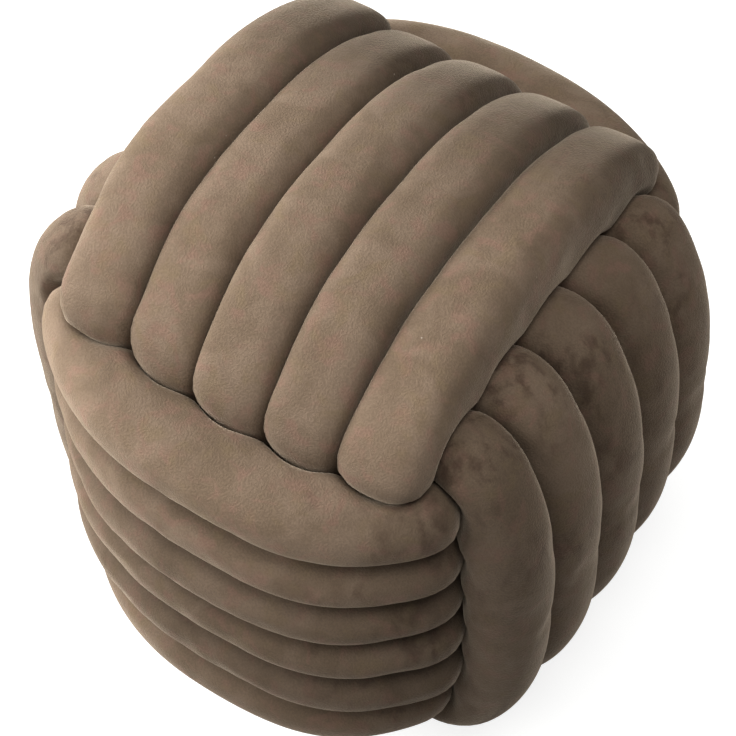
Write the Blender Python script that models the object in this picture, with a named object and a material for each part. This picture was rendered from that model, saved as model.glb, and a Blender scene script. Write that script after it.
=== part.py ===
# Pouf: a ball knotted from one long stuffed velvet tube, wound in three groups of turns that cross at right angles.
# Units are metres and +Z is up. The origin is the middle of the underside, on the surface that the ball rests on.
# Top turns run front to back over the top (+Z) and the underside, side turns run down the right (+X) and the left,
# and front turns run level round the front (-Y) and the back. Each group passes under the next one where they cross.

import math

import bmesh
import bpy
import numpy as np

HALF_SIZE = np.array((0.215, 0.237, 0.227))  # over the crowns of the turns, along X, Y and Z, before it is flattened
FLATTENED = 0.006  # how much of the lowest crowns is pressed flat where the ball rests
TUBE_RADIUS = 0.034  # the stuffed tube where nothing presses on its sides

# One row for each group of turns. Axes: 0 is X, 1 is Y, 2 is Z.
# across: the axis along which the turns lie side by side; out: the axis that their crowns face
# turns: how many; pitch: crown to crown; shift: the whole group's offset along across
# squareness: exponent of a turn's outline, 2 for an ellipse; vanish: where along across a turn would have no size left
# dive_angle: where a turn goes down under the next group; dive_depth: how far down it goes
GROUPS = {
    "top": dict(across=0, out=2, turns=5, pitch=0.0587, shift=-0.005, squareness=2.4, vanish=0.201,
                dive_angle=math.radians(47), dive_depth=0.062),
    "side": dict(across=1, out=0, turns=5, pitch=0.0613, shift=0.002, squareness=2.6, vanish=0.234,
                 dive_angle=math.radians(46), dive_depth=0.067),
    "front": dict(across=2, out=1, turns=6, pitch=0.0423, shift=0.0, squareness=2.5, vanish=0.241,
                  dive_angle=math.radians(50), dive_depth=0.070),
}
TAPER = 3.0  # exponent of how the turns get smaller from the middle of their group to its outer ones
DIVE_SPREAD = math.radians(14)  # half the angle over which a turn goes down
PRESS = 0.53  # half width of a turn between two others, as a share of the pitch: over a half, so they press together
OUTER_SHIFT = 0.45  # how far the outer turns are pushed out, as a share of what the pitch lacks of the tube's radius
OUTER_EDGE = math.radians(70)  # how far round an outer turn the surface goes before the next group begins

CROSS_STEPS = 5  # facets across one turn
PATH_STEPS = 120  # balls of filling along each turn, which give it its thickness

VELVET_COLOUR = (0.147, 0.102, 0.074, 1.0)
VELVET_ROUGHNESS = 0.85


def smooth_step(t):
    """0 below 0, 1 above 1, and a smooth rise between."""
    t = np.clip(t, 0.0, 1.0)
    return t * t * t * (t * (6.0 * t - 15.0) + 10.0)


def turn_places(group):
    """The middle of each turn along the group's across axis."""
    places = (np.arange(group["turns"]) - (group["turns"] - 1) / 2) * group["pitch"]
    pushed = OUTER_SHIFT * (TUBE_RADIUS - group["pitch"] / 2)
    places[0] -= pushed
    places[-1] += pushed
    return places + group["shift"]


def turn_path(group, place):
    """Points along the middle of the turn at that place."""
    across, out = group["across"], group["out"]
    along = 3 - across - out
    size = (1 - abs(place / group["vanish"]) ** TAPER) ** (1 / TAPER)
    angle = np.linspace(0.0, 2 * math.pi, PATH_STEPS, endpoint=False)
    cos, sin = np.cos(angle), np.sin(angle)
    power = group["squareness"]
    outline = ((np.abs(cos) / (HALF_SIZE[out] * size)) ** power
               + (np.abs(sin) / (HALF_SIZE[along] * size)) ** power) ** (-1 / power)
    from_crown = np.arctan2(np.abs(sin) / HALF_SIZE[along], np.abs(cos) / HALF_SIZE[out])
    dive = smooth_step((from_crown - group["dive_angle"] + DIVE_SPREAD) / (2 * DIVE_SPREAD))
    distance = outline - TUBE_RADIUS - group["dive_depth"] * dive
    path = np.zeros((PATH_STEPS, 3))
    path[:, across] = place
    path[:, out] = distance * cos
    path[:, along] = distance * sin
    return path


def half_widths(group):
    """Half the width of each turn. The outer turns are pressed from one side only and keep the tube's own width."""
    halves = np.full(group["turns"], PRESS * group["pitch"])
    halves[0] = halves[-1] = TUBE_RADIUS
    return halves


def filling():
    """Centres of the balls that fill every turn end to end, and how many times narrower each ball is on each axis."""
    centres, squeezes = [], []
    for group in GROUPS.values():
        for place, half in zip(turn_places(group), half_widths(group)):
            squeeze = np.ones((PATH_STEPS, 3))
            squeeze[:, group["across"]] = TUBE_RADIUS / half
            centres.append(turn_path(group, place))
            squeezes.append(squeeze)
    return np.concatenate(centres), np.concatenate(squeezes)


CENTRES, SQUEEZES = filling()


def reach(start, direction):
    """The farthest point of any turn along a ray, which is the surface that shows."""
    way = direction / np.linalg.norm(direction) * SQUEEZES
    to_centre = (CENTRES - start) * SQUEEZES
    square = (way**2).sum(1)
    middle = (way * to_centre).sum(1)
    root = middle**2 - square * ((to_centre**2).sum(1) - TUBE_RADIUS**2)
    hit = root > 0
    distance = ((middle[hit] + np.sqrt(root[hit])) / square[hit]).max()
    return start + distance * direction / np.linalg.norm(direction)


def across_places(axis):
    """Planes along one axis that cut its group of turns: creases, crowns and the facets between them."""
    group = next(g for g in GROUPS.values() if g["across"] == axis)
    middles, halves = turn_places(group), half_widths(group)
    creases = middles[:-1] + np.diff(middles) * halves[:-1] / (halves[:-1] + halves[1:])
    edge = TUBE_RADIUS * math.sin(OUTER_EDGE)
    bounds = np.concatenate(([middles[0] - edge], creases, [middles[-1] + edge]))
    places = []
    for number, (middle, half) in enumerate(zip(middles, halves)):
        low, high = np.arcsin((bounds[number:number + 2] - middle) / half)
        places.extend(middle + half * np.sin(np.linspace(low, high, CROSS_STEPS + 1)[:-1]))
    return np.append(places, bounds[-1])


PLACES = [across_places(axis) for axis in range(3)]
LAST = [len(places) - 1 for places in PLACES]


def edge_point(step, along):
    """A point in the crease where one group goes under the next. Its ray runs along the axis after `along`."""
    ray = (along + 1) % 3
    start = np.array([PLACES[axis][step[axis]] for axis in range(3)])
    direction = np.zeros(3)
    direction[ray] = -1.0 if step[ray] == 0 else 1.0
    start[ray] = 0.0
    return reach(start, direction)


def surface_point(step):
    """Where the grid point with these whole-number steps along X, Y and Z lies on the ball."""
    ends = [axis for axis in range(3) if step[axis] in (0, LAST[axis])]
    if len(ends) == 3:
        return reach(np.zeros(3), np.array([PLACES[axis][step[axis]] for axis in range(3)]))
    if len(ends) == 2:
        return edge_point(step, 3 - sum(ends))
    out = ends[0]
    across, along = (out + 1) % 3, (out + 2) % 3
    end = list(step)
    end[along] = 0 if PLACES[along][step[along]] < 0 else LAST[along]
    rim = edge_point(end, across)
    widest = math.atan2(abs(rim[along]), abs(rim[out]))
    angle = widest * PLACES[along][step[along]] / abs(PLACES[along][end[along]])
    start, direction = np.zeros(3), np.zeros(3)
    start[across] = PLACES[across][step[across]]
    direction[along] = math.sin(angle)
    direction[out] = math.cos(angle) * (-1.0 if step[out] == 0 else 1.0)
    return reach(start, direction)


def knotted_ball_mesh():
    """The wound form: a box of grid squares, each side split along its own turns, pushed out to the turns' surface."""
    shape = bmesh.new()
    made = {}

    def vertex(step):
        if step not in made:
            made[step] = shape.verts.new(surface_point(step))
        return made[step]

    for out in range(3):
        across, along = (out + 1) % 3, (out + 2) % 3
        for side in (0, LAST[out]):
            for i in range(LAST[across]):
                for j in range(LAST[along]):
                    corners = []
                    for di, dj in ((0, 0), (1, 0), (1, 1), (0, 1)):
                        step = [0, 0, 0]
                        step[out], step[across], step[along] = side, i + di, j + dj
                        corners.append(vertex(tuple(step)))
                    shape.faces.new(corners if side else corners[::-1])

    lowest = min(v.co.z for v in shape.verts) + FLATTENED
    for v in shape.verts:
        v.co.z = max(v.co.z, lowest) - lowest
    bmesh.ops.triangulate(shape, faces=shape.faces)
    mesh = bpy.data.meshes.new("knotted_ball")
    shape.to_mesh(mesh)
    shape.free()
    mesh.shade_smooth()
    mesh.set_sharp_from_angle(angle=math.radians(50))
    return mesh


def velvet():
    material = bpy.data.materials.new("velvet")
    material.use_nodes = True
    shader = material.node_tree.nodes["Principled BSDF"]
    shader.inputs["Base Color"].default_value = VELVET_COLOUR
    shader.inputs["Roughness"].default_value = VELVET_ROUGHNESS
    shader.inputs["Metallic"].default_value = 0.0
    return material


for old in list(bpy.data.objects):
    bpy.data.objects.remove(old)

ball = bpy.data.objects.new("knotted_ball", knotted_ball_mesh())
ball.data.materials.append(velvet())
bpy.context.scene.collection.objects.link(ball)
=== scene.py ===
import math

import bmesh
import bpy
import numpy as np
from mathutils import Matrix, Vector


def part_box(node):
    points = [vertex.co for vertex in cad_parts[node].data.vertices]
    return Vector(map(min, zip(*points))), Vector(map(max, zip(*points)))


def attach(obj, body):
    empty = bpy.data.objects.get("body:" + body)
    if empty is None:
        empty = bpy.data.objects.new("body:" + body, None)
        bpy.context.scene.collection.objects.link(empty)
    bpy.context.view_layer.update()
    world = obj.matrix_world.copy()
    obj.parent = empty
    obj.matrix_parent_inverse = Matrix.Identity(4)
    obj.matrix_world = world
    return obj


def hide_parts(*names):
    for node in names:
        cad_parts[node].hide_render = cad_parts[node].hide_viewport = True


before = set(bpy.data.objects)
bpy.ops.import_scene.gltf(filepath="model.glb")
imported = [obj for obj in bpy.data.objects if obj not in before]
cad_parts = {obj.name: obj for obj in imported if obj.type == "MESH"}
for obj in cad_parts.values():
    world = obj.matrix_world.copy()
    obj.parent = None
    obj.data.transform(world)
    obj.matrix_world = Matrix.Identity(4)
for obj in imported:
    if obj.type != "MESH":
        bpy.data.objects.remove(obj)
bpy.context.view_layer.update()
print("frame loaded")

# A pouf: one long stuffed velvet tube, knotted into a ball in three groups of turns that cross at right
# angles. Top turns run front to back over the top and the underside, side turns run down the right and the
# left, and front turns run level round the front and the back. Each turn goes right round the ball, and
# where it comes to the next group it dives under it.
# Sizes are metres and angles are degrees unless a note says otherwise. The front is -Y and the right is +X.
#
# Where the numbers come from: a separate fitting program worked out halfSize, most of turnGroups, the columns
# aside, bigger and longer of turnPulls, all of outOfSquare, and view, and they stand here rounded as it
# printed them. These are given one by one: in turnGroups the axes, first, turns, crown, crease, tuckedUnder,
# bulge, bulgeAngle, minusAside and minusAsideSlant, the top turns' diveAngle and diveSpread, and the front
# turns' minusEnd; in turnPulls paler, and frontTurn6's aside and bigger; and everything else in this script.

ball = {
    "flattened": 0.006,     # how far the floor presses in the lowest crowns
    "halfSize": (0.2132, 0.2415, 0.2221),   # over the crowns, before anything is pulled out of square
    "bulgeSpread": 15.0,    # how far a bulge reaches to either side of its middle
    "leanStart": 15.0,      # the ends start to lean aside this far from the crown
    "leanSpread": 35.0,     # and reach their full lean over this angle
    "sections": 160,        # steps along a turn
    "pathSteps": 640,       # finer steps, from which the even ones are read
    "around": 44,           # steps round the tube
    "pressedEdge": 20.0,    # how sharply the cloth turns from its free crown into a pressed side
    "near": 2.3,            # turns closer than this many tube radii can press on each other
    "between": 0.0004,      # half the gap kept between two turns
}

# A turn runs along one axis, its crowns face out along another, and its group lies side by side across the
# third. An axis is 0, 1 or 2 for x, y or z, and its plus side is the one it grows to. Each group has:
# across, out: two of those axes; first: the side that turn 1 is on; turns: how many
# pitch: crown to crown; shift: the whole group's offset; tube: the tube's radius where nothing holds it
# squareness: exponent of a turn's outline, 2 for an ellipse; vanish, taper: how turns shrink to the sides
# plusEnd, minusEnd: percent that the outline is longer at either end; slant: how much more to the plus side
# diveAngle, diveSpread, diveDepth: where a turn goes down, half the angle that takes, and how deep it gets
# minusAside: millimetres that the minus ends lean sideways; slant: how much more to the plus side
# tuckedUnder: percent that the outline is shorter where its crowns face the minus side, as underneath
# bulge: percent that the outline stands out more; bulgeAngle: where, from the crown that faces the plus side
# crown: exponent of the tube's section, 2 for a round crown and more for a flat one
# crease: low where a turn touches the one beside it only deep down, high where the two press flat together
turnGroups = {
    "top": {
        "across": 0, "out": 2, "first": -1, "turns": 5,
        "pitch": 0.0550, "shift": -0.0009, "tube": 0.0336,
        "squareness": 2.30, "vanish": 0.1989, "taper": 3.50,
        "plusEnd": -0.5, "plusEndSlant": 0.5, "minusEnd": 3.0, "minusEndSlant": 0.5,
        "diveAngle": 50.4, "diveSpread": 7.5, "diveDepth": 0.0569,
        "minusAside": 4.5, "minusAsideSlant": -6.0, "tuckedUnder": 24.0,
        "bulge": 0.0, "bulgeAngle": 0.0,
        "crown": 3.4, "crease": 24.0,
    },
    "side": {
        "across": 1, "out": 0, "first": -1, "turns": 5,
        "pitch": 0.0615, "shift": 0.0011, "tube": 0.0358,
        "squareness": 2.67, "vanish": 0.2397, "taper": 3.56,
        "plusEnd": 0.5, "plusEndSlant": 0.7, "minusEnd": -1.7, "minusEndSlant": -0.8,
        "diveAngle": 48.3, "diveSpread": 10.3, "diveDepth": 0.0699,
        "minusAside": 0.0, "minusAsideSlant": 0.0, "tuckedUnder": 0.0,
        "bulge": 0.0, "bulgeAngle": 0.0,
        "crown": 2.2, "crease": 12.0,
    },
    "front": {
        "across": 2, "out": 1, "first": 1, "turns": 6,
        "pitch": 0.0426, "shift": 0.0042, "tube": 0.0306,
        "squareness": 2.23, "vanish": 0.2336, "taper": 2.77,
        "plusEnd": 0.4, "plusEndSlant": 4.1, "minusEnd": 0.4, "minusEndSlant": 2.7,
        "diveAngle": 52.5, "diveSpread": 10.3, "diveDepth": 0.0698,
        "minusAside": 0.0, "minusAsideSlant": 0.0, "tuckedUnder": 0.0,
        "bulge": 2.8, "bulgeAngle": 153.0,
        "crown": 2.4, "crease": 3.0,
    },
}

# No two turns were pulled equally tight. aside: millimetres to the group's plus side; bigger: percent;
# longer: percent along the turn; paler: percent of painted light on the turn's colour, painted shade below 0
turnPulls = {
    "topTurn1": {"aside": 0.5, "bigger": 1.0, "longer": 2.8, "paler": 12},
    "topTurn2": {"aside": -0.6, "bigger": -2.9, "longer": 1.4, "paler": 10},
    "topTurn3": {"aside": 0.6, "bigger": -1.3, "longer": -0.7, "paler": 4},
    "topTurn4": {"aside": 1.6, "bigger": -0.4, "longer": -1.3, "paler": 0},
    "topTurn5": {"aside": 0.4, "bigger": 1.0, "longer": 3.2, "paler": 14},
    "sideTurn1": {"aside": 3.9, "bigger": 0.1, "longer": 3.8, "paler": 0},
    "sideTurn2": {"aside": -0.6, "bigger": 0.6, "longer": 1.9, "paler": 12},
    "sideTurn3": {"aside": -1.1, "bigger": 0.4, "longer": 0.1, "paler": 6},
    "sideTurn4": {"aside": -0.4, "bigger": -1.5, "longer": 1.8, "paler": 8},
    "sideTurn5": {"aside": -5.2, "bigger": -1.1, "longer": 0.9, "paler": 14},
    "frontTurn1": {"aside": 1.3, "bigger": 1.6, "longer": 1.3, "paler": 52},
    "frontTurn2": {"aside": -0.9, "bigger": -0.9, "longer": -1.1, "paler": 30},
    "frontTurn3": {"aside": -1.0, "bigger": -0.8, "longer": -3.0, "paler": 4},
    "frontTurn4": {"aside": 1.6, "bigger": -1.2, "longer": 0.9, "paler": 3},
    "frontTurn5": {"aside": 0.0, "bigger": -0.9, "longer": 2.2, "paler": -12},
    "frontTurn6": {"aside": -4.4, "bigger": 0.8, "longer": -2.2, "paler": 16},
}

# The knot was pulled out of square: all of it moves by far along one axis, times its places along the axes
# in by. Each place runs from -1 to 1 over the ball.
outOfSquare = [
    {"moves": "x", "by": "xx", "far": -0.0022},
    {"moves": "x", "by": "zz", "far": -0.0047},
    {"moves": "x", "by": "xz", "far": 0.0063},
    {"moves": "x", "by": "yz", "far": -0.0042},
    {"moves": "x", "by": "y", "far": -0.0022},
    {"moves": "x", "by": "z", "far": -0.0085},
    {"moves": "y", "by": "xx", "far": 0.0037},
    {"moves": "y", "by": "yy", "far": 0.0028},
    {"moves": "y", "by": "zz", "far": -0.0020},
    {"moves": "y", "by": "xy", "far": -0.0027},
    {"moves": "y", "by": "xz", "far": -0.0051},
    {"moves": "y", "by": "yz", "far": -0.0047},
    {"moves": "y", "by": "x", "far": -0.0022},
    {"moves": "y", "by": "z", "far": -0.0026},
    {"moves": "z", "by": "zz", "far": 0.0071},
    {"moves": "z", "by": "xy", "far": -0.0021},
    {"moves": "z", "by": "xz", "far": -0.0025},
    {"moves": "z", "by": "yz", "far": 0.0019},
    {"moves": "z", "by": "x", "far": -0.0085},
    {"moves": "z", "by": "y", "far": -0.0026},
]

boxLow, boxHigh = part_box("knotted_ball")
ballCentre = np.array([0.0, 0.0, (boxLow.z + boxHigh.z - ball["flattened"]) / 2])
halfSize = np.array(ball["halfSize"])


def smoothStep(t):
    # 0 below 0, 1 above 1, and smooth between
    t = np.clip(t, 0, 1)
    return t * t * t * (t * (6 * t - 15) + 10)


def turnPath(group, number, pull):
    # the middle of one turn in even steps, starting where it is buried inside the ball
    across, out = group["across"], group["out"]
    along = 3 - across - out
    place = group["shift"] + pull["aside"] / 1000
    place += group["first"] * ((group["turns"] - 1) / 2 - number) * group["pitch"]
    slant = place / halfSize[across]
    size = (1 - abs(place / group["vanish"]) ** group["taper"]) ** (1 / group["taper"])
    size *= 1 + pull["bigger"] / 100
    angle = np.linspace(0, 2 * math.pi, ball["pathSteps"], endpoint=False) + math.pi / 2
    cosine, sine = np.cos(angle), np.sin(angle)
    fromCrown = np.degrees(np.arctan2(np.abs(sine) / halfSize[along], np.abs(cosine) / halfSize[out]))
    fromPlusCrown = np.degrees(np.arctan2(sine / halfSize[along], cosine / halfSize[out]))

    plusEnd = group["plusEnd"] + group["plusEndSlant"] * slant
    minusEnd = group["minusEnd"] + group["minusEndSlant"] * slant
    longer = 1 + (pull["longer"] + np.where(sine > 0, plusEnd, minusEnd)) / 100
    longer -= group["tuckedUnder"] / 100 * smoothStep(-2 * cosine)
    power = group["squareness"]
    outwards = (np.abs(cosine) / (halfSize[out] * size)) ** power
    lengthwise = (np.abs(sine) / (halfSize[along] * size * longer)) ** power
    outline = (outwards + lengthwise) ** (-1 / power)
    bulge = np.exp(-((fromPlusCrown - group["bulgeAngle"]) / ball["bulgeSpread"]) ** 2)
    outline *= 1 + group["bulge"] / 100 * bulge

    dive = smoothStep((fromCrown - group["diveAngle"] + group["diveSpread"]) / (2 * group["diveSpread"]))
    distance = outline - group["tube"] - group["diveDepth"] * dive
    lean = (group["minusAside"] + group["minusAsideSlant"] * slant) / 1000
    lean *= smoothStep((fromCrown - ball["leanStart"]) / ball["leanSpread"])
    # only the minus end leans, and only as far as the crown that faces the plus side reaches
    lean *= smoothStep(-3 * sine) * (cosine > 0)
    path = np.zeros((len(angle), 3))
    path[:, across] = place + lean
    path[:, out] = distance * cosine
    path[:, along] = distance * sine

    places = path / halfSize
    for skew in outOfSquare:
        share = np.prod([places[:, "xyz".index(axis)] for axis in skew["by"]], axis=0)
        if len(set(skew["by"])) < len(skew["by"]):
            share -= 1 / 3   # so that a square moves the ball's middle and its ends opposite ways
        path[:, "xyz".index(skew["moves"])] += skew["far"] * share
    loop = np.vstack([path, path[:1]])
    walked = np.concatenate([[0], np.cumsum(np.linalg.norm(np.diff(loop, axis=0), axis=1))])
    even = np.linspace(0, walked[-1], ball["sections"], endpoint=False)
    return np.stack([np.interp(even, walked, loop[:, axis]) for axis in range(3)], axis=1) + ballCentre


def turnDirections(path, across):
    # the directions in which the cloth lies round every section; the first one of each points out of the ball
    tangent = np.roll(path, -1, axis=0) - np.roll(path, 1, axis=0)
    tangent /= np.linalg.norm(tangent, axis=1, keepdims=True)
    side = np.zeros(3)
    side[across] = 1
    outward = np.cross(tangent, side)
    if (outward * (path - ballCentre)).sum() < 0:
        outward = -outward
    angle = np.linspace(0, 2 * math.pi, ball["around"], endpoint=False)[None, :, None]
    return np.cos(angle) * outward[:, None, :] + np.sin(angle) * side


def clothReach(name):
    # how far the cloth gets from the turn's middle in each direction, where other turns and the floor hold it
    path, directions, tube = paths[name], clothDirections[name], tubes[name]
    held = {"beside": np.zeros(directions.shape[:2]), "across": np.zeros(directions.shape[:2])}
    for other, otherPath in paths.items():
        if other == name:
            continue
        way = "beside" if groupOf[other] == groupOf[name] else "across"
        away = otherPath[None, :, :] - path[:, None, :]
        square = (away ** 2).sum(axis=2)
        near = square < (ball["near"] * tube) ** 2
        rows, columns = np.where(near.any(axis=1))[0], np.where(near.any(axis=0))[0]
        if len(rows) == 0:
            continue
        away, square = away[np.ix_(rows, columns)], square[np.ix_(rows, columns)]
        near = near[np.ix_(rows, columns)]
        facing = np.einsum("rtk,rck->rtc", directions[rows], away)
        # two turns meet half way between their middles
        meeting = np.where((facing > 1e-6) & near[:, None, :], 2 * facing / square[:, None, :], 0)
        held[way][rows] = np.maximum(held[way][rows], meeting.max(axis=2))
    group, edge = turnGroups[groupOf[name]], ball["pressedEdge"]
    crown, crease = group["crown"], group["crease"]
    angle = np.linspace(0, 2 * math.pi, ball["around"], endpoint=False)
    # these are all one over a distance, so the largest holds the cloth in most
    free = (np.abs(np.cos(angle)) ** crown + np.abs(np.sin(angle)) ** crown) ** (1 / crown) / tube
    beside = (free ** crease + held["beside"] ** crease) ** (1 / crease)
    floorward = np.maximum(-directions[:, :, 2], 0) / np.maximum(path[:, 2], 1e-4)[:, None]
    return (beside ** edge + held["across"] ** edge + floorward ** edge) ** (-1 / edge) - ball["between"]


turnNames = []
groupOf, paths, clothDirections, tubes = {}, {}, {}, {}
for groupName, group in turnGroups.items():
    for number in range(group["turns"]):
        name = f"{groupName}Turn{number + 1}"
        turnNames.append(name)
        groupOf[name] = groupName
        tubes[name] = group["tube"]
        paths[name] = turnPath(group, number, turnPulls[name])
        clothDirections[name] = turnDirections(paths[name], group["across"])
print("paths of", len(turnNames), "turns laid")


def plainRing():
    # a plain ring, whose points are then moved on to the turn's own cloth
    form = bmesh.new()
    standing = Matrix.Translation((1, 0, 0)) @ Matrix.Rotation(math.pi / 2, 4, "X")
    bmesh.ops.create_circle(form, cap_ends=False, segments=ball["around"], radius=0.2, matrix=standing)
    bmesh.ops.spin(form, geom=form.verts[:] + form.edges[:], cent=(0, 0, 0), axis=(0, 0, 1), dvec=(0, 0, 0),
                   angle=2 * math.pi, steps=ball["sections"], use_merge=True, use_duplicate=False)
    return form


def ringStep(aside, ahead, steps):
    # which step of a full circle a point of the plain ring is at
    return round(math.atan2(aside, ahead) / (2 * math.pi) * steps) % steps


stuffing = {
    "pressure": 4.0,
    "frames": 20,
    "mostMove": 0.0025,     # how far the cloth may swell
    "spareCloth": 0.0075,   # the cover is cut this share larger than its stuffing
    "heldBelow": 0.9,       # cloth nearer than this share of the tube's radius is pressed and can't move
    "freeOver": 0.08,       # and it gets free over this further share
}


def makeTurn(name):
    form = plainRing()
    reach = clothReach(name)
    points = paths[name][:, None, :] + reach[:, :, None] * clothDirections[name]
    points[:, :, 2] = np.maximum(points[:, :, 2], 0)
    held = 1 - smoothStep((reach / tubes[name] - stuffing["heldBelow"]) / stuffing["freeOver"])
    heldPoints = []
    for vertex in form.verts:
        section = ringStep(vertex.co.y, vertex.co.x, ball["sections"])
        step = ringStep(vertex.co.z, math.hypot(vertex.co.x, vertex.co.y) - 1, ball["around"])
        vertex.co = points[section, step]
        heldPoints.append(held[section, step])
    if form.calc_volume(signed=True) < 0:
        bmesh.ops.reverse_faces(form, faces=form.faces)
    mesh = bpy.data.meshes.new(name)
    form.to_mesh(mesh)
    form.free()
    mesh.shade_smooth()
    piece = bpy.data.objects.new(name, mesh)
    bpy.context.scene.collection.objects.link(piece)
    pressed = piece.vertex_groups.new(name="pressed")
    for index, share in enumerate(heldPoints):
        pressed.add([index], share, "REPLACE")
    return piece


turns = {name: makeTurn(name) for name in turnNames}
print("turns made")


def meshPoints(mesh):
    points = np.zeros(len(mesh.vertices) * 3, np.float32)
    mesh.vertices.foreach_get("co", points)
    return points.reshape(-1, 3).astype(float)


def stuffTurns():
    # all the covers are blown up together, each held where the next turn presses on it
    for piece in turns.values():
        cloth = piece.modifiers.new("stuffing", "CLOTH")
        cloth.settings.quality = 4
        cloth.settings.mass = 0.2
        cloth.settings.tension_stiffness = 20
        cloth.settings.compression_stiffness = 20
        cloth.settings.shear_stiffness = 8
        cloth.settings.bending_stiffness = 0.5
        cloth.settings.shrink_min = -stuffing["spareCloth"]
        cloth.settings.use_pressure = True
        cloth.settings.uniform_pressure_force = stuffing["pressure"]
        cloth.settings.effector_weights.gravity = 0
        cloth.settings.vertex_group_mass = "pressed"
        cloth.collision_settings.use_collision = False
    for step in range(1, stuffing["frames"] + 1):
        bpy.context.scene.frame_set(step)
    seen = bpy.context.evaluated_depsgraph_get()
    for name, piece in turns.items():
        before = meshPoints(piece.data)
        move = meshPoints(piece.evaluated_get(seen).data) - before
        far = np.linalg.norm(move, axis=1, keepdims=True)
        print(name, "cloth swelled by", round(float(far.mean()) * 1000, 2), "mm")
        # the further a point would go, the closer it comes to the most it may move
        free = np.array([1 - vertex.groups[0].weight for vertex in piece.data.vertices])[:, None]
        most = stuffing["mostMove"] * free
        points = before + move * most / np.maximum(far + most, 1e-9)
        points[:, 2] = np.maximum(points[:, 2], 0)
        piece.modifiers.clear()
        piece.data.vertices.foreach_set("co", points.astype(np.float32).ravel())
        piece.data.update()
    bpy.context.scene.frame_set(1)


stuffTurns()
print("turns stuffed")


def subdivideTurn(piece):
    # once finer, with the finer mesh kept in place of the modifier
    finer = piece.modifiers.new("finer", "SUBSURF")
    finer.levels = finer.render_levels = 1
    seen = bpy.context.evaluated_depsgraph_get()
    mesh = bpy.data.meshes.new_from_object(piece.evaluated_get(seen))
    piece.modifiers.clear()
    old = piece.data
    piece.data = mesh
    bpy.data.meshes.remove(old)
    mesh.name = piece.name


for piece in turns.values():
    subdivideTurn(piece)
print("turns subdivided")


def fromHex(code):
    # an sRGB colour turned linear
    channels = [int(code[i:i + 2], 16) / 255 for i in (1, 3, 5)]
    return [c / 12.92 if c <= 0.04045 else ((c + 0.055) / 1.055) ** 2.4 for c in channels] + [1.0]


def addNode(tree, kind, settings=None, links=None):
    # settings and links go by a socket's name or number; other settings are the node's own
    node = tree.nodes.new(kind)
    for key, value in (settings or {}).items():
        if isinstance(key, int) or key in node.inputs:
            node.inputs[key].default_value = value
        else:
            setattr(node, key, value)
    for key, source in (links or {}).items():
        tree.links.new(source, node.inputs[key])
    return node


velvet = {
    "pale": "#726151",      # pile that leans to the light
    "deep": "#665646",      # pile that leans away from it
    "rosy": "#775c4f",      # a warmer cast in small patches
    "olive": "#6c5c46",     # and a greener one
    "marked": "#45342a",    # dark marks where it was crushed
    "lint": "#a89a8a",
    "roughness": 0.9,
    "specular": 0.1,
    "sheen": 0.65,
    "sheenRoughness": 0.32,
    "sheenTint": "#dac9b2",
    "tallness": 0.45,       # width over height of the patterns that were brushed up and down
    "grainTone": 0.10,      # how much lighter and darker the grain is
    "grainDepth": 0.0004,
    "ruffleDepth": 0.0006,
    "lintApart": 0.035,
    "lintEdge": 0.022,      # where a speck starts, as a share of lintApart
    "lintCore": 0.012,      # and where it is full
}
# The velvet's patterns. size: millimetres; none, full: where in the noise it starts and where it is full
# tall: whether it was brushed up and down. The real pile is finer than the grain, which is drawn coarse
# enough to show.
velvetPatterns = {
    "patch": {"size": 45.0, "detail": 3.0, "distortion": 0.8, "none": 0.36, "full": 0.64, "tall": False},
    "rosy": {"size": 16.0, "detail": 3.0, "distortion": 0.6, "none": 0.50, "full": 0.68, "tall": False},
    "olive": {"size": 19.2, "detail": 3.0, "distortion": 0.6, "none": 0.52, "full": 0.70, "tall": False},
    "mark": {"size": 10.0, "detail": 5.0, "distortion": 0.3, "none": 0.42, "full": 0.68, "tall": True},
    "markPlace": {"size": 50.0, "detail": 2.0, "distortion": 0.3, "none": 0.42, "full": 0.62, "tall": False},
    "ruffle": {"size": 6.0, "detail": 3.0, "distortion": 0.3, "none": 0.50, "full": 0.74, "tall": True},
    "grain": {"size": 1.3, "detail": 2.0, "distortion": 0.0, "none": 0.30, "full": 0.70, "tall": False},
}
# Colours laid over the patches of pale and deep pile, each where all of its patterns are
velvetLayers = [
    {"colour": "rosy", "most": 0.55, "where": ["rosy"]},
    {"colour": "olive", "most": 0.5, "where": ["olive"]},
    {"colour": "marked", "most": 0.75, "where": ["mark", "markPlace", "crushed"]},
    # pale flecks among the crushed marks, painted in as highlights
    {"colour": "pale", "most": 0.35, "where": ["ruffle", "markPlace", "crushed"]},
]


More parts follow.
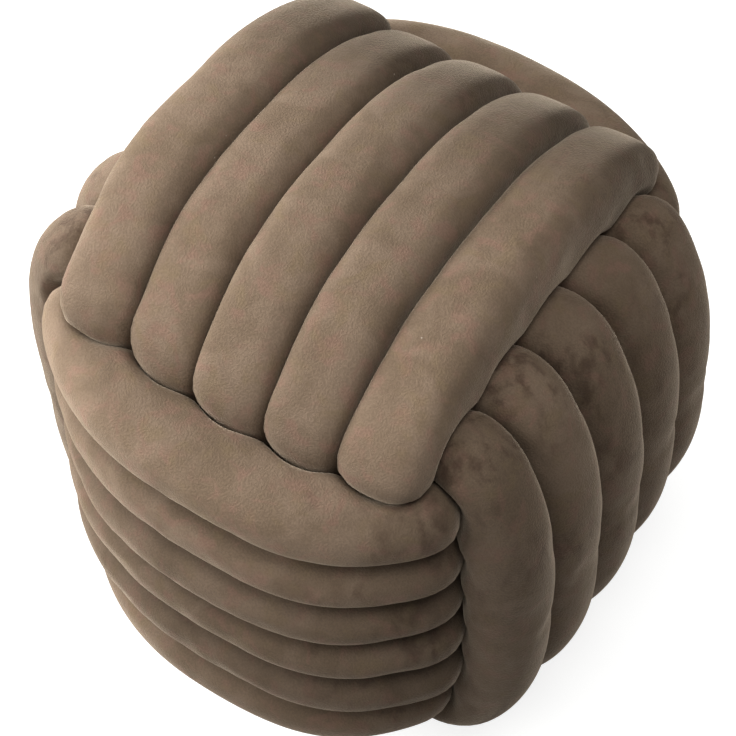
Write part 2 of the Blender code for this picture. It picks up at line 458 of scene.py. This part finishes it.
def brushedVelvet():
    # short-pile polyester velvet, brushed by hand: a deep soft brown, matt face on, with a paler bloom where
    # it curves away, faint rosy and olive casts, feathered dark marks where it was crushed with pale flecks
    # painted in as highlights among them, a little lint, and the painted light and shade written on each turn
    material = bpy.data.materials.new("brushedVelvet")
    material.use_nodes = True
    tree = material.node_tree
    shader = tree.nodes["Principled BSDF"]
    shader.inputs["Roughness"].default_value = velvet["roughness"]
    shader.inputs["Specular IOR Level"].default_value = velvet["specular"]
    shader.inputs["Sheen Weight"].default_value = velvet["sheen"]
    shader.inputs["Sheen Roughness"].default_value = velvet["sheenRoughness"]
    shader.inputs["Sheen Tint"].default_value = fromHex(velvet["sheenTint"])
    place = addNode(tree, "ShaderNodeTexCoord").outputs["Object"]
    tall = addNode(tree, "ShaderNodeMapping", {"Scale": (1, 1, velvet["tallness"])}, {"Vector": place})
    share = {}
    for key, pattern in velvetPatterns.items():
        spots = addNode(tree, "ShaderNodeTexNoise",
                        {"Scale": 1000 / pattern["size"], "Detail": pattern["detail"],
                         "Distortion": pattern["distortion"]},
                        {"Vector": tall.outputs["Vector"] if pattern["tall"] else place})
        edges = addNode(tree, "ShaderNodeMapRange",
                        {"interpolation_type": "SMOOTHSTEP", "From Min": pattern["none"],
                         "From Max": pattern["full"]},
                        {"Value": spots.outputs["Fac"]})
        share[key] = edges.outputs["Result"]
    share["crushed"] = addNode(tree, "ShaderNodeAttribute", {"attribute_name": "crushed"}).outputs["Fac"]
    # how much painted light and shade each point of a turn gets, written on the turn
    paintedLightAndShade = addNode(tree, "ShaderNodeAttribute", {"attribute_name": "paintedLightAndShade"}).outputs["Fac"]

    # a colour mix takes its share at socket 0 and its colours at 6 and 7, and gives a colour at 2
    colour = addNode(tree, "ShaderNodeMix",
                     {"data_type": "RGBA", 6: fromHex(velvet["deep"]), 7: fromHex(velvet["pale"])},
                     {0: share["patch"]}).outputs[2]
    for layer in velvetLayers:
        amount = share[layer["where"][0]]
        for key in layer["where"][1:]:
            amount = addNode(tree, "ShaderNodeMath", {"operation": "MULTIPLY"},
                             {0: amount, 1: share[key]}).outputs["Value"]
        amount = addNode(tree, "ShaderNodeMath", {"operation": "MULTIPLY", 1: layer["most"]},
                         {0: amount}).outputs["Value"]
        colour = addNode(tree, "ShaderNodeMix", {"data_type": "RGBA", 7: fromHex(velvet[layer["colour"]])},
                         {0: amount, 6: colour}).outputs[2]
    grainTone = addNode(tree, "ShaderNodeMapRange",
                        {"To Min": 1 - velvet["grainTone"], "To Max": 1 + velvet["grainTone"]},
                        {"Value": share["grain"]}).outputs["Result"]
    # the grain's tone, then the painted light and shade written on each turn
    for tone in (grainTone, paintedLightAndShade):
        colour = addNode(tree, "ShaderNodeVectorMath", {"operation": "SCALE"},
                         {0: colour, "Scale": tone}).outputs["Vector"]
    # lint: a speck about a millimetre across in some of the cells
    cells = addNode(tree, "ShaderNodeTexVoronoi", {"Scale": 1 / velvet["lintApart"]}, {"Vector": place})
    speck = addNode(tree, "ShaderNodeMapRange",
                    {"From Min": velvet["lintEdge"], "From Max": velvet["lintCore"]},
                    {"Value": cells.outputs["Distance"]})
    colour = addNode(tree, "ShaderNodeMix", {"data_type": "RGBA", 7: fromHex(velvet["lint"])},
                     {0: speck.outputs["Result"], 6: colour}).outputs[2]
    tree.links.new(colour, shader.inputs["Base Color"])

    ruffles = addNode(tree, "ShaderNodeMath", {"operation": "MULTIPLY"},
                      {0: share["ruffle"], 1: share["crushed"]})
    ruffled = addNode(tree, "ShaderNodeBump", {"Strength": 0.15, "Distance": velvet["ruffleDepth"]},
                      {"Height": ruffles.outputs["Value"]})
    pile = addNode(tree, "ShaderNodeBump", {"Strength": 0.5, "Distance": velvet["grainDepth"]},
                   {"Height": share["grain"], "Normal": ruffled.outputs["Normal"]})
    tree.links.new(pile.outputs["Normal"], shader.inputs["Normal"])
    return material


# Painted light and shade on each group, and how crushed its pile is. A place along a turn is 0 at its crown
# and
# -1 or 1 where it goes down. tone: painted brightness of the whole group, lower on the side turns as painted
# shade
# sidelong: how much brighter the flank to the group's plus side is painted, with the other flank painted
# darker
# darker: how much painted shade it gets from darkerFrom towards the plus end; crushed: how much it was
# handled
wearAndPaintedLight = {
    "top": {"tone": 1.0, "sidelong": 0.12, "darker": 0.55, "darkerFrom": -0.05,
            "crushed": [0.15, 0.2, 0.2, 0.9]},
    "side": {"tone": 0.88, "sidelong": 0.10, "darker": 0.0, "darkerFrom": 0.0,
             "crushed": [0.9, 0.6, 0.6, 0.95]},
    "front": {"tone": 1.0, "sidelong": -0.32, "darker": 0.4, "darkerFrom": 0.45,
              "crushed": [0.1, 0.1, 0.1, 0.9]},
}
wearAndPaintedShadeSpans = {
    "crushedAt": [-1.0, -0.4, 0.3, 0.9],    # the places along a turn that crushed is given for
    "darkerOver": 0.8,      # how much of the way the darkening takes
}


def markWearAndPaintedLight(name):
    # writes on the turn's points how crushed the pile is, and the painted light and shade of its colour
    group, lies = turnGroups[groupOf[name]], wearAndPaintedLight[groupOf[name]]
    mesh = turns[name].data
    across, out = group["across"], group["out"]
    along = 3 - across - out
    points = (meshPoints(mesh) - ballCentre) / halfSize
    normals = np.zeros(len(mesh.vertices) * 3, np.float32)
    mesh.vertices.foreach_get("normal", normals)
    place = np.degrees(np.arctan2(points[:, along], np.abs(points[:, out]))) / group["diveAngle"]
    crushed = np.interp(place, wearAndPaintedShadeSpans["crushedAt"], lies["crushed"])
    # painted shade towards the plus end, then the group's and the turn's painted brightness, then painted
    # light and shade on the flanks
    lean = 1 - lies["darker"] * smoothStep((place - lies["darkerFrom"]) / wearAndPaintedShadeSpans["darkerOver"])
    lean *= lies["tone"] * (1 + turnPulls[name]["paler"] / 100)
    lean *= 1 + lies["sidelong"] * normals.reshape(-1, 3)[:, across]
    for key, values in (("crushed", crushed), ("paintedLightAndShade", lean)):
        layer = mesh.attributes.new(key, "FLOAT", "POINT")
        layer.data.foreach_set("value", values.astype(np.float32))


pileCloth = brushedVelvet()
for name, piece in turns.items():
    markWearAndPaintedLight(name)
    piece.data.materials.clear()
    piece.data.materials.append(pileCloth)
    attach(piece, "root")
    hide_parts("knotted_ball")
print("velvet on")

studio = {
    "floor": "#bcbcba",
    "floorGlow": 0.76,      # the floor glows a little, so that its shadows stay pale
    "floorRadius": 3.0,
    "curveRadius": 1.0,     # of the curve from the floor up into the wall
    "curveSteps": 8,
    "wallHeight": 3.0,
    "sky": "#ffffff",
    "skyStrength": 0.2,
    "boxDistance": 2.2,
    "boxSize": 1.3,
}
# watts of each softbox, and where it stands
softboxes = {
    "key": {"azimuth": -85, "elevation": 18, "power": 104.0},
    "top": {"azimuth": 50, "elevation": 72, "power": 26.0},
    "front": {"azimuth": -35, "elevation": 33, "power": 31.0},
}


def fromBall(azimuth, elevation):
    # the direction from the ball, with azimuth 0 in front of it and 90 to its right
    azimuth, elevation = math.radians(azimuth), math.radians(elevation)
    return Vector((math.sin(azimuth) * math.cos(elevation), -math.cos(azimuth) * math.cos(elevation),
                   math.sin(elevation)))


def flatPaint():
    # pale studio paint, dead matt, which also glows a little: an even floor with hardly a shadow
    paint = bpy.data.materials.new("flatPaint")
    paint.use_nodes = True
    shader = paint.node_tree.nodes["Principled BSDF"]
    shader.inputs["Base Color"].default_value = fromHex(studio["floor"])
    shader.inputs["Roughness"].default_value = 0.9
    shader.inputs["Specular IOR Level"].default_value = 0.0
    shader.inputs["Emission Color"].default_value = fromHex(studio["sky"])
    shader.inputs["Emission Strength"].default_value = studio["floorGlow"]
    return paint


def makeFloor():
    # a round floor that curves up into a wall all round
    form = bmesh.new()
    bmesh.ops.create_circle(form, cap_ends=True, segments=96, radius=studio["floorRadius"])
    rim = form.edges[:]
    for step in range(1, studio["curveSteps"] + 1):
        lean = math.radians(90 * step / studio["curveSteps"])
        grown = bmesh.ops.extrude_edge_only(form, edges=rim)["geom"]
        rim = [item for item in grown if isinstance(item, bmesh.types.BMEdge)]
        for vertex in {vertex for edge in rim for vertex in edge.verts}:
            outwards = Vector((vertex.co.x, vertex.co.y, 0)).normalized()
            vertex.co = outwards * (studio["floorRadius"] + studio["curveRadius"] * math.sin(lean))
            vertex.co.z = studio["curveRadius"] * (1 - math.cos(lean))
    grown = bmesh.ops.extrude_edge_only(form, edges=rim)["geom"]
    for vertex in [item for item in grown if isinstance(item, bmesh.types.BMVert)]:
        vertex.co.z += studio["wallHeight"]
    mesh = bpy.data.meshes.new("floor")
    form.to_mesh(mesh)
    form.free()
    mesh.shade_smooth()
    mesh.materials.append(flatPaint())
    floor = bpy.data.objects.new("floor", mesh)
    bpy.context.scene.collection.objects.link(floor)
    # the sky alone stands for the light that comes back off the floor and the wall
    floor.visible_diffuse = False
    floor.visible_shadow = False


def makeLights():
    world = bpy.data.worlds.new("studio")
    world.use_nodes = True
    background = world.node_tree.nodes["Background"]
    background.inputs["Color"].default_value = fromHex(studio["sky"])
    background.inputs["Strength"].default_value = studio["skyStrength"]
    bpy.context.scene.world = world
    for name, box in softboxes.items():
        lamp = bpy.data.lights.new(name + "Softbox", "AREA")
        lamp.shape = "DISK"
        lamp.size = studio["boxSize"]
        lamp.energy = box["power"]
        stand = bpy.data.objects.new(name + "Softbox", lamp)
        towards = fromBall(box["azimuth"], box["elevation"])
        stand.location = Vector(ballCentre) + towards * studio["boxDistance"]
        stand.rotation_euler = towards.to_track_quat("Z", "Y").to_euler()
        stand.visible_camera = False
        bpy.context.scene.collection.objects.link(stand)


makeFloor()
makeLights()
print("studio lit")

view = {
    "azimuth": 33.9,
    "elevation": 50.4,
    "roll": -0.8,
    "distance": 1.4624,
    "lens": 97.5,           # millimetres, on a sensor 36 wide
    "aimAside": -0.0064,    # the camera is shifted by this much from looking at the ball's middle
    "aimAbove": 0.0020,
}


def makeCamera():
    back = fromBall(view["azimuth"], view["elevation"])
    azimuth = math.radians(view["azimuth"])
    level = Vector((math.cos(azimuth), math.sin(azimuth), 0))
    rolled = Matrix.Rotation(math.radians(view["roll"]), 3, back)
    right, up = rolled @ level, rolled @ back.cross(level)
    camera = bpy.data.objects.new("camera", bpy.data.cameras.new("camera"))
    camera.data.sensor_width = 36
    camera.data.lens = view["lens"]
    camera.matrix_world = Matrix((right, up, back)).transposed().to_4x4()
    camera.location = Vector(ballCentre) + back * view["distance"]
    camera.location += right * view["aimAside"] + up * view["aimAbove"]
    bpy.context.scene.collection.objects.link(camera)
    bpy.context.scene.camera = camera


makeCamera()
bpy.context.scene.view_settings.view_transform = "Standard"
print("camera placed")
